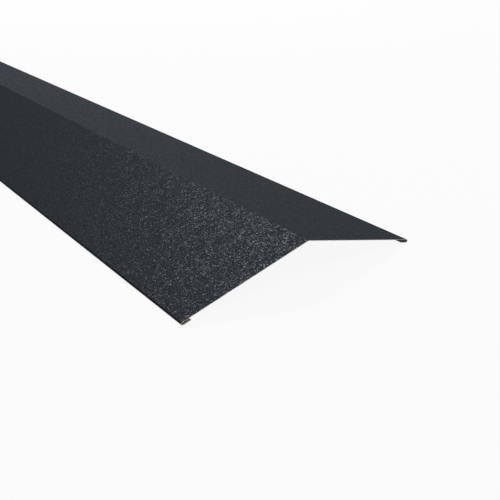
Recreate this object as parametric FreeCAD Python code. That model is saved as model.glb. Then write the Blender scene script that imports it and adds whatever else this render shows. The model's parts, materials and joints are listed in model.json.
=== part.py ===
"""Roof ridge cap: one strip of coated steel sheet, bent along the ridge and hemmed along both outer edges.

Frame: X across the roof ridge, Y along it, Z up. The origin is under the ridge line, midway along the cap,
on the level floor that the two hems stand on. Lengths are in millimetres and angles in degrees.
"""

import FreeCAD
import Part

import math
import os

# The blank
SHEET_THICKNESS = 0.5
CAP_LENGTH = 2000.0

# The wings, each measured down its slope from the sharp ridge line to the outside of its hem's fold
WING_WIDTH = 145.0
RIDGE_ANGLE = 150.0
RIDGE_INSIDE_RADIUS = 1.5

# The open hems, with the depth from the outside of the fold and the clear gap between the two layers
HEM_DEPTH = 10.0
HEM_GAP = 2.6

# What follows from them
SLOPE = math.radians((180.0 - RIDGE_ANGLE) / 2)
RIDGE_OUTSIDE_RADIUS = RIDGE_INSIDE_RADIUS + SHEET_THICKNESS
HEM_OUTSIDE_RADIUS = HEM_GAP / 2 + SHEET_THICKNESS
FOLD_CENTRE_ALONG = WING_WIDTH - HEM_OUTSIDE_RADIUS
FOLD_CENTRE_DROP = FOLD_CENTRE_ALONG * math.sin(SLOPE) + HEM_OUTSIDE_RADIUS * math.cos(SLOPE)
RIDGE_LINE_HEIGHT = FOLD_CENTRE_DROP + HEM_OUTSIDE_RADIUS
NEAR_END = -CAP_LENGTH / 2

LEFT = -1
RIGHT = 1


def wing_point(side, along, below):
    """A point of the near end, so far along a wing's slope from the ridge line and below its coated face."""
    across = along * math.cos(SLOPE) - below * math.sin(SLOPE)
    drop = along * math.sin(SLOPE) + below * math.cos(SLOPE)
    return FreeCAD.Vector(side * across, NEAR_END, RIDGE_LINE_HEIGHT - drop)


def free_edge(side, depth):
    """Where a hem's return ends, at a depth into the sheet from its coated face."""
    return wing_point(side, WING_WIDTH - HEM_DEPTH, 2 * HEM_OUTSIDE_RADIUS - depth)


def fold_points(side, depth):
    """Start, middle and end of a hem's half-round fold, from its return to its wing."""
    return [
        wing_point(side, FOLD_CENTRE_ALONG, 2 * HEM_OUTSIDE_RADIUS - depth),
        wing_point(side, WING_WIDTH - depth, HEM_OUTSIDE_RADIUS),
        wing_point(side, FOLD_CENTRE_ALONG, depth),
    ]


def ridge_points(depth):
    """Start, middle and end of the ridge bend, from the left wing to the right one."""
    tangent = RIDGE_OUTSIDE_RADIUS * math.tan(SLOPE)
    centre_height = RIDGE_LINE_HEIGHT - RIDGE_OUTSIDE_RADIUS / math.cos(SLOPE)
    top = FreeCAD.Vector(0, NEAR_END, centre_height + RIDGE_OUTSIDE_RADIUS - depth)
    return [wing_point(LEFT, tangent, depth), top, wing_point(RIGHT, tangent, depth)]


def sheet_face_edges(depth):
    """One face of the sheet as it shows on the near end, from the left free edge to the right one.

    Depth 0 is the coated face, and the sheet's thickness is the backing face. Every bend is concentric.
    """
    left_fold = fold_points(LEFT, depth)
    ridge = ridge_points(depth)
    right_fold = fold_points(RIGHT, depth)[::-1]
    curves = [
        Part.LineSegment(free_edge(LEFT, depth), left_fold[0]),
        Part.Arc(*left_fold),
        Part.LineSegment(left_fold[-1], ridge[0]),
        Part.Arc(*ridge),
        Part.LineSegment(ridge[-1], right_fold[0]),
        Part.Arc(*right_fold),
        Part.LineSegment(right_fold[-1], free_edge(RIGHT, depth)),
    ]
    return [curve.toShape() for curve in curves]


def sheared_edge(side):
    """The cut through the sheet's thickness along a hem's free edge."""
    return Part.LineSegment(free_edge(side, 0), free_edge(side, SHEET_THICKNESS)).toShape()


def ridge_cap():
    """The folded section, drawn on the near end and run along the whole length."""
    outline = sheet_face_edges(0) + [sheared_edge(RIGHT)]
    outline += sheet_face_edges(SHEET_THICKNESS)[::-1] + [sheared_edge(LEFT)]
    section = Part.Face(Part.Wire(outline))
    return section.extrude(FreeCAD.Vector(0, CAP_LENGTH, 0))


def blank_width():
    """Width of the flat strip that the section is folded from, along the middle of its thickness."""
    return sum(edge.Length for edge in sheet_face_edges(SHEET_THICKNESS / 2))


cap = ridge_cap()
os.makedirs("parts", exist_ok=True)
cap.exportStep("parts/ridge_cap.step")
flat_volume = blank_width() * SHEET_THICKNESS * CAP_LENGTH
print(f"blank {blank_width():.2f} mm wide, {flat_volume:.0f} mm3 flat and {cap.Volume:.0f} mm3 folded")
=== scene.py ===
"""Looks of the roof ridge cap: its folded sheet, its coatings and the studio that shows it.

Frame: X across the ridge, Y along it, Z up, in metres. The floor is at Z 0, where both hems stand.
"""
import json
import math

import bpy
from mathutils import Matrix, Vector


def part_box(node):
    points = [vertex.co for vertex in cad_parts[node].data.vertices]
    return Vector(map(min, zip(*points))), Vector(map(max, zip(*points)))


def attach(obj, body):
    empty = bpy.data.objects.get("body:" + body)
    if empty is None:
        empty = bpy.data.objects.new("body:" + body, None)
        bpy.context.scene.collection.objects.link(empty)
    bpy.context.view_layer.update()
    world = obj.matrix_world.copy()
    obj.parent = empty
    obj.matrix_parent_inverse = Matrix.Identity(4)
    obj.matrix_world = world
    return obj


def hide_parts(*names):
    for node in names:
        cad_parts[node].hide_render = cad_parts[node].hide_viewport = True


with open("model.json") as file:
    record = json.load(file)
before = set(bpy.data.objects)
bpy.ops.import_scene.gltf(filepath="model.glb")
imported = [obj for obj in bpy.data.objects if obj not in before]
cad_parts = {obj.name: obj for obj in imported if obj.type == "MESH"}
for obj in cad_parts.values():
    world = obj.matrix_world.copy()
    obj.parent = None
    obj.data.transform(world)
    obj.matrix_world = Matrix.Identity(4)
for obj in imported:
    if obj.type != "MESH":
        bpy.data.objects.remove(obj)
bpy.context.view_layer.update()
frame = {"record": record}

MM = 0.001

# The folded sheet. Its length, width and slope come from the frame.
SHEET_THICKNESS = 0.5 * MM
RIDGE_INSIDE_RADIUS = 1.5 * MM
HEM_DEPTH = 10.0 * MM
HEM_GAP = 2.6 * MM
SHEARED_EDGE_ROUND = 0.05 * MM

# The mesh: points along each bend and along the length, and what counts as a sheared edge or as one point
FOLD_STEPS = 12
LENGTH_STEPS = 40
SHEARED_ANGLE = math.radians(60)
SAME_POINT = 0.001 * MM

# Corners of the section from free edge to free edge, and which of them is the ridge
SECTION_CORNERS = 7
RIDGE_CORNER = 3

# The camera, from the vanishing lines and the near end in the photograph
CAMERA_PLACE = Vector((-0.3984, -1.4407, 0.3126))
CAMERA_PITCH = math.radians(25.47)
CAMERA_HEADING = math.radians(36.90)
CAMERA_LENS_MM = 50.9
CAMERA_SENSOR_MM = 36.0

# The studio: where the lamps face, how bright the room is, how wide the floor is, how white the floor and
# the horizon show, and how high the white of the horizon reaches
STUDIO_CENTRE = Vector((0.0, -0.7, 0.03))
ROOM_LIGHT = 0.04
FLOOR_SIDE = 180.0
WHITENESS = 0.92
HORIZON_FADE = math.radians(12)


def linear(hex_colour):
    """The linear RGBA of an sRGB hex colour."""
    channels = [int(hex_colour[i:i + 2], 16) / 255 for i in (1, 3, 5)]
    return [c / 12.92 if c <= 0.04045 else ((c + 0.055) / 1.055) ** 2.4 for c in channels] + [1.0]


def feed(tree, node, sockets):
    """Gives each named input socket of a node a value or the output that feeds it."""
    for name, value in sockets.items():
        if isinstance(value, bpy.types.NodeSocket):
            tree.links.new(value, node.inputs[name])
        else:
            node.inputs[name].default_value = value


def add_node(tree, kind, sockets=None, **settings):
    """Adds a node with its settings and feeds its sockets."""
    node = tree.nodes.new(kind)
    for name, value in settings.items():
        setattr(node, name, value)
    feed(tree, node, sockets or {})
    return node


def new_material(name):
    """An empty node material and its tree."""
    material = bpy.data.materials.new(name)
    material.use_nodes = True
    material.node_tree.nodes.clear()
    return material, material.node_tree


def grained_coil_coat():
    """Polyester coil coating with metal pigment, roller-applied and oven-cured with a grained, matt skin.

    The eye sees a dark blue-grey with a fine grain. Every crumb of the grain leans its own way and has its
    own gloss, from dead matt to satin, so the smoother ones glint one by one where a lamp lines up with
    them. Seen at a low angle the skin stays dark, as the grain hides its shine, so its edge tint is dark.
    Real crumbs are about 0.3 mm wide, too fine to show, so they are drawn about 0.9 mm wide.
    """
    crumb_width = 0.88 * MM
    crumb_turn = (0.5, 0.4, 0.6)
    crumb_lean = 0.31
    patch_width = 7.0 * MM
    patch_weight = 0.5
    matt_chance, smooth_chance = 0.5, 1.35
    matt_roughness, smooth_roughness = 1.0, 0.3
    pigment_share = 0.5
    middle = 0.5
    material, tree = new_material("coil_coat_grained_anthracite")
    place = add_node(tree, "ShaderNodeTexCoord").outputs["Object"]

    # One cell for each crumb, turned out of line with the sheet, and three numbers drawn for it
    turned = add_node(tree, "ShaderNodeMapping", {"Vector": place, "Rotation": crumb_turn}).outputs[0]
    cells = add_node(tree, "ShaderNodeTexVoronoi", {
        "Vector": turned, "Scale": 1 / crumb_width, "Randomness": 1.0}, feature="F1").outputs["Color"]
    drawn = add_node(tree, "ShaderNodeSeparateColor", {"Color": cells}).outputs

    # The first number says how smooth the crumb is; smooth ones are a little more common in some patches
    patch = add_node(tree, "ShaderNodeTexNoise", {
        "Vector": place, "Scale": 1 / patch_width, "Detail": 2.0, "Roughness": 0.5}).outputs["Fac"]
    chance = add_node(tree, "ShaderNodeMath", {
        0: patch, 1: patch_weight, 2: drawn["Red"]}, operation="MULTIPLY_ADD").outputs[0]
    smooth = add_node(tree, "ShaderNodeMapRange", {
        "Value": chance, "From Min": matt_chance, "From Max": smooth_chance},
        interpolation_type="SMOOTHSTEP").outputs[0]
    rough = add_node(tree, "ShaderNodeMapRange", {
        "Value": smooth, "To Min": matt_roughness, "To Max": smooth_roughness}).outputs[0]
    colour = add_node(tree, "ShaderNodeMix", {
        "Factor": smooth, "A": linear("#343b42"), "B": linear("#3e3e40")},
        data_type="RGBA").outputs["Result"]

    # The other two say which way it leans
    sideways = add_node(tree, "ShaderNodeCombineXYZ", {
        "X": drawn["Green"], "Y": drawn["Blue"], "Z": middle}).outputs[0]
    centred = add_node(tree, "ShaderNodeVectorMath", {
        0: sideways, 1: (middle,) * 3}, operation="SUBTRACT").outputs[0]
    sheet = add_node(tree, "ShaderNodeNewGeometry").outputs["Normal"]
    leaning = add_node(tree, "ShaderNodeVectorMath", {
        0: centred, 1: (crumb_lean,) * 3, 2: sheet}, operation="MULTIPLY_ADD").outputs[0]
    facing = add_node(tree, "ShaderNodeVectorMath", {0: leaning}, operation="NORMALIZE").outputs[0]
    shader = add_node(tree, "ShaderNodeBsdfPrincipled", {
        "Base Color": colour, "Metallic": pigment_share, "Roughness": rough, "Specular IOR Level": 0.0,
        "Specular Tint": linear("#a2a2a2"), "Normal": facing})
    add_node(tree, "ShaderNodeOutputMaterial", {"Surface": shader.outputs[0]})
    return material


def backing_lacquer():
    """Thin epoxy backing lacquer, rolled on the inside: plain beige-grey, faintly streaked, half matt."""
    streak_width = 9.0 * MM
    material, tree = new_material("backing_lacquer_beige_grey")
    place = add_node(tree, "ShaderNodeTexCoord").outputs["Object"]
    streak = add_node(tree, "ShaderNodeTexNoise", {
        "Vector": place, "Scale": 1 / streak_width, "Detail": 3.0}).outputs["Fac"]
    colour = add_node(tree, "ShaderNodeMix", {
        "Factor": streak, "A": linear("#b3afa5"), "B": linear("#bfbbb1")},
        data_type="RGBA").outputs["Result"]
    shader = add_node(tree, "ShaderNodeBsdfPrincipled", {
        "Base Color": colour, "Roughness": 0.5, "IOR": 1.5})
    add_node(tree, "ShaderNodeOutputMaterial", {"Surface": shader.outputs[0]})
    return material


def sheared_steel():
    """Zinc-coated steel where the blank was sheared: a bright grey metal line with a torn, matt face."""
    tear_width = 0.8 * MM
    material, tree = new_material("sheared_zinc_coated_steel")
    place = add_node(tree, "ShaderNodeTexCoord").outputs["Object"]
    tear = add_node(tree, "ShaderNodeTexNoise", {
        "Vector": place, "Scale": 1 / tear_width, "Detail": 3.0}).outputs["Fac"]
    colour = add_node(tree, "ShaderNodeMix", {
        "Factor": tear, "A": linear("#a9a59c"), "B": linear("#c4c0b8")},
        data_type="RGBA").outputs["Result"]
    shader = add_node(tree, "ShaderNodeBsdfPrincipled", {
        "Base Color": colour, "Metallic": 1.0, "Roughness": 0.45})
    add_node(tree, "ShaderNodeOutputMaterial", {"Surface": shader.outputs[0]})
    return material


def folded_section(tree, size):
    """The coated face of the section, as a curve from free edge to free edge with rounded corners."""
    # Its corners are the ridge and, on each side, the fold's two corners and the free edge
    index = add_node(tree, "GeometryNodeInputIndex").outputs["Index"]
    from_ridge = add_node(tree, "ShaderNodeMath", {
        0: index, 1: RIDGE_CORNER}, operation="SUBTRACT").outputs[0]
    side = add_node(tree, "ShaderNodeMath", {0: from_ridge}, operation="SIGN").outputs[0]
    corner = add_node(tree, "ShaderNodeMath", {0: from_ridge}, operation="ABSOLUTE").outputs[0]
    wing, hem_radius = size["Wing width"], size["Hem radius"]
    free_edge = add_node(tree, "ShaderNodeMath", {
        0: wing, 1: size["Hem depth"]}, operation="SUBTRACT").outputs[0]
    hem_height = add_node(tree, "ShaderNodeMath", {
        0: hem_radius, 1: 2.0}, operation="MULTIPLY").outputs[0]

    # What each corner gets, listed from the ridge out to the free edge
    corner_values = {
        "along": (0.0, wing, wing, free_edge),
        "below": (0.0, 0.0, hem_height, hem_height),
        "radius": (size["Ridge radius"], hem_radius, hem_radius, 0.0),
    }
    picked = {}
    for name, values in corner_values.items():
        switch = add_node(tree, "GeometryNodeIndexSwitch", {"Index": corner}, data_type="FLOAT")
        while len(switch.index_switch_items) < len(values):
            switch.index_switch_items.new()
        feed(tree, switch, dict(enumerate(values, start=1)))
        picked[name] = switch.outputs[0]

    # The section lies in its own XY plane, with Y down, as the sweep along +Y turns it
    level = add_node(tree, "ShaderNodeCombineXYZ", {"X": picked["along"], "Y": picked["below"]}).outputs[0]
    sloped = add_node(tree, "ShaderNodeVectorRotate", {
        "Vector": level, "Angle": size["Slope"]}, rotation_type="Z_AXIS").outputs[0]
    mirror = add_node(tree, "ShaderNodeCombineXYZ", {"X": side, "Y": 1.0, "Z": 1.0}).outputs[0]
    sided = add_node(tree, "ShaderNodeVectorMath", {0: sloped, 1: mirror}, operation="MULTIPLY").outputs[0]
    lift = add_node(tree, "ShaderNodeCombineXYZ", {"Y": size["Ridge height"]}).outputs[0]
    place = add_node(tree, "ShaderNodeVectorMath", {0: sided, 1: lift}, operation="SUBTRACT").outputs[0]
    line = add_node(tree, "GeometryNodeCurvePrimitiveLine")
    corners = add_node(tree, "GeometryNodeResampleCurve", {
        "Curve": line.outputs[0], "Count": SECTION_CORNERS}, mode="COUNT")
    sharp = add_node(tree, "GeometryNodeSetPosition", {"Geometry": corners.outputs[0], "Position": place})
    return add_node(tree, "GeometryNodeFilletCurve", {
        "Curve": sharp.outputs[0], "Radius": picked["radius"], "Count": size["Fold steps"],
        "Limit Radius": True}, mode="POLY").outputs[0]


def length_line(tree, size):
    """The line on the floor under the ridge, from the near end to the far one, divided into steps."""
    half = add_node(tree, "ShaderNodeMath", {0: size["Length"], 1: 0.5}, operation="MULTIPLY").outputs[0]
    minus_half = add_node(tree, "ShaderNodeMath", {0: half, 1: -1.0}, operation="MULTIPLY").outputs[0]
    near = add_node(tree, "ShaderNodeCombineXYZ", {"Y": minus_half}).outputs[0]
    far = add_node(tree, "ShaderNodeCombineXYZ", {"Y": half}).outputs[0]
    line = add_node(tree, "GeometryNodeCurvePrimitiveLine", {"Start": near, "End": far})
    points = add_node(tree, "ShaderNodeMath", {
        0: size["Length steps"], 1: 1.0}, operation="ADD").outputs[0]
    return add_node(tree, "GeometryNodeResampleCurve", {
        "Curve": line.outputs[0], "Count": points}, mode="COUNT").outputs[0]


def folded_sheet_tree(coat):
    """Geometry Nodes for the coated face of a hemmed ridge section, run along the cap's length."""
    tree = bpy.data.node_groups.new("folded_ridge_sheet", "GeometryNodeTree")
    measures = ("Length", "Wing width", "Slope", "Ridge height", "Ridge radius", "Hem depth", "Hem radius")
    for name in measures:
        tree.interface.new_socket(name, in_out="INPUT", socket_type="NodeSocketFloat")
    for name in ("Fold steps", "Length steps"):
        tree.interface.new_socket(name, in_out="INPUT", socket_type="NodeSocketInt")
    tree.interface.new_socket("Geometry", in_out="OUTPUT", socket_type="NodeSocketGeometry")
    size = add_node(tree, "NodeGroupInput").outputs
    swept = add_node(tree, "GeometryNodeCurveToMesh", {
        "Curve": length_line(tree, size), "Profile Curve": folded_section(tree, size)})
    merged = add_node(tree, "GeometryNodeMergeByDistance", {
        "Geometry": swept.outputs[0], "Distance": SAME_POINT})
    smooth = add_node(tree, "GeometryNodeSetShadeSmooth", {
        "Geometry": merged.outputs[0], "Shade Smooth": True})
    real = add_node(tree, "GeometryNodeRealizeInstances", {"Geometry": smooth.outputs[0]})
    coated = add_node(tree, "GeometryNodeSetMaterial", {"Geometry": real.outputs[0], "Material": coat})
    add_node(tree, "NodeGroupOutput", {"Geometry": coated.outputs[0]})
    return tree


def section_sizes():
    """Sizes of the folded sheet, by the names of the tree's inputs, so that it fills the frame's box."""
    low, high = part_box("ridge_cap")
    lap_face = next(mount for mount in frame["record"]["mounts"] if mount["name"] == "right_lap_face")
    slope = math.atan2(lap_face["axis"][0], lap_face["axis"][2])
    hem_radius = HEM_GAP / 2 + SHEET_THICKNESS
    fold_centre = (high.x - hem_radius + hem_radius * math.sin(slope)) / math.cos(slope)
    return {
        "Length": high.y - low.y,
        "Wing width": fold_centre + hem_radius,
        "Slope": slope,
        "Ridge height": fold_centre * math.sin(slope) + hem_radius * (1 + math.cos(slope)),
        "Ridge radius": RIDGE_INSIDE_RADIUS + SHEET_THICKNESS,
        "Hem depth": HEM_DEPTH,
        "Hem radius": hem_radius,
        "Fold steps": FOLD_STEPS,
        "Length steps": LENGTH_STEPS,
    }


def folded_sheet():
    """The whole cap as one sheet: coat on its outside, lacquer on its inside, bare metal on its cuts."""
    sizes = section_sizes()
    coat, lacquer, cut = grained_coil_coat(), backing_lacquer(), sheared_steel()
    draft = bpy.data.objects.new("ridge_cap_draft", bpy.data.meshes.new("ridge_cap_draft"))
    bpy.context.scene.collection.objects.link(draft)
    for material in (coat, lacquer, cut):
        draft.data.materials.append(material)

    fold = draft.modifiers.new("fold", "NODES")
    fold.node_group = folded_sheet_tree(coat)
    for item in fold.node_group.interface.items_tree:
        if item.in_out == "INPUT":
            fold[item.identifier] = sizes[item.name]

    # The thickness goes inward; the inside takes the second material and the rim the third
    thickness = draft.modifiers.new("thickness", "SOLIDIFY")
    thickness.thickness = SHEET_THICKNESS
    thickness.offset = -1.0
    thickness.use_even_offset = True
    thickness.use_quality_normals = True
    thickness.material_offset = 1
    thickness.material_offset_rim = 2
    edges = draft.modifiers.new("sheared_edges", "BEVEL")
    edges.width = SHEARED_EDGE_ROUND
    edges.segments = 1
    edges.limit_method = "ANGLE"
    edges.angle_limit = SHEARED_ANGLE
    flats = draft.modifiers.new("flat_wings", "WEIGHTED_NORMAL")
    flats.keep_sharp = True

    # The tree's mesh carries the coat alone, so the other two finishes follow it here, in the same order
    depsgraph = bpy.context.evaluated_depsgraph_get()
    mesh = bpy.data.meshes.new_from_object(draft.evaluated_get(depsgraph), depsgraph=depsgraph)
    for material in (lacquer, cut):
        mesh.materials.append(material)
    bpy.data.objects.remove(draft)
    piece = bpy.data.objects.new("folded_ridge_sheet", mesh)
    bpy.context.scene.collection.objects.link(piece)
    return piece


def seen_as_background(tree):
    """1 for what the camera, a reflection or clear glass shows, and 0 for light that falls on the cap."""
    path = add_node(tree, "ShaderNodeLightPath").outputs
    shown = add_node(tree, "ShaderNodeMath", {
        0: path["Is Camera Ray"], 1: path["Is Glossy Ray"]}, operation="MAXIMUM").outputs[0]
    return add_node(tree, "ShaderNodeMath", {
        0: shown, 1: path["Is Transmission Ray"]}, operation="MAXIMUM").outputs[0]


def studio_floor():
    """A plain pale floor: white to the eye and in reflections, with the cap's soft shadow on it."""
    material, tree = new_material("white_paper_floor")
    share = add_node(tree, "ShaderNodeMath", {
        0: seen_as_background(tree), 1: WHITENESS}, operation="MULTIPLY").outputs[0]
    paper = add_node(tree, "ShaderNodeBsdfDiffuse", {"Color": linear("#c4c4c4")})
    white = add_node(tree, "ShaderNodeEmission", {"Color": linear("#ffffff"), "Strength": 1.0})
    mixed = add_node(tree, "ShaderNodeMixShader", {0: share, 1: paper.outputs[0], 2: white.outputs[0]})
    add_node(tree, "ShaderNodeOutputMaterial", {"Surface": mixed.outputs[0]})
    mesh = bpy.data.meshes.new("floor")
    half = FLOOR_SIDE / 2
    corners = [(-half, -half, 0), (half, -half, 0), (half, half, 0), (-half, half, 0)]
    mesh.from_pydata(corners, [], [(0, 1, 2, 3)])
    mesh.materials.append(material)
    floor = bpy.data.objects.new("floor", mesh)
    bpy.context.scene.collection.objects.link(floor)


def softbox(name, azimuth, elevation, distance, side, power):
    """A square soft lamp that faces the cap's near half.

    Angles are in degrees, with azimuth 0 along +Y and 90 along +X, lengths in metres and power in watts.
    """
    lamp = bpy.data.lights.new(name, "AREA")
    lamp.size = side
    lamp.energy = power
    turn, rise = math.radians(azimuth), math.radians(elevation)
    away = Vector((math.sin(turn) * math.cos(rise), math.cos(turn) * math.cos(rise), math.sin(rise)))
    box = bpy.data.objects.new(name, lamp)
    box.location = STUDIO_CENTRE + away * distance
    box.rotation_euler = away.to_track_quat("Z", "Y").to_euler()
    bpy.context.scene.collection.objects.link(box)


def dim_room():
    """A dim room all round, with a horizon about as white as the floor that fades upward."""
    world = bpy.data.worlds.new("dim_room")
    world.use_nodes = True
    tree = world.node_tree
    way = add_node(tree, "ShaderNodeTexCoord").outputs["Generated"]
    height = add_node(tree, "ShaderNodeSeparateXYZ", {"Vector": way}).outputs["Z"]
    horizon = add_node(tree, "ShaderNodeMapRange", {
        "Value": height, "From Min": 0.0, "From Max": math.sin(HORIZON_FADE),
        "To Min": WHITENESS - ROOM_LIGHT, "To Max": 0.0}, interpolation_type="SMOOTHSTEP").outputs[0]
    level = add_node(tree, "ShaderNodeMath", {
        0: seen_as_background(tree), 1: horizon, 2: ROOM_LIGHT}, operation="MULTIPLY_ADD").outputs[0]
    feed(tree, tree.nodes["Background"], {"Color": linear("#ffffff"), "Strength": level})
    bpy.context.scene.world = world


def studio_light():
    """A key behind on the right, a fill in front on the right, and the room."""
    softbox("key", azimuth=30, elevation=40, distance=4.6, side=1.53, power=226)
    softbox("fill", azimuth=165, elevation=60, distance=2.6, side=1.2, power=26)
    dim_room()


def photo_camera():
    """The camera at the photograph's place, height and angle."""
    data = bpy.data.cameras.new("photo_camera")
    data.lens = CAMERA_LENS_MM
    data.sensor_width = CAMERA_SENSOR_MM
    camera = bpy.data.objects.new("photo_camera", data)
    camera.location = CAMERA_PLACE
    camera.rotation_euler = (math.pi / 2 - CAMERA_PITCH, 0, -CAMERA_HEADING)
    bpy.context.scene.collection.objects.link(camera)
    bpy.context.scene.camera = camera


cap = folded_sheet()
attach(cap, "root")
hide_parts("ridge_cap")
studio_floor()
studio_light()
photo_camera()
bpy.context.scene.view_settings.view_transform = "Standard"
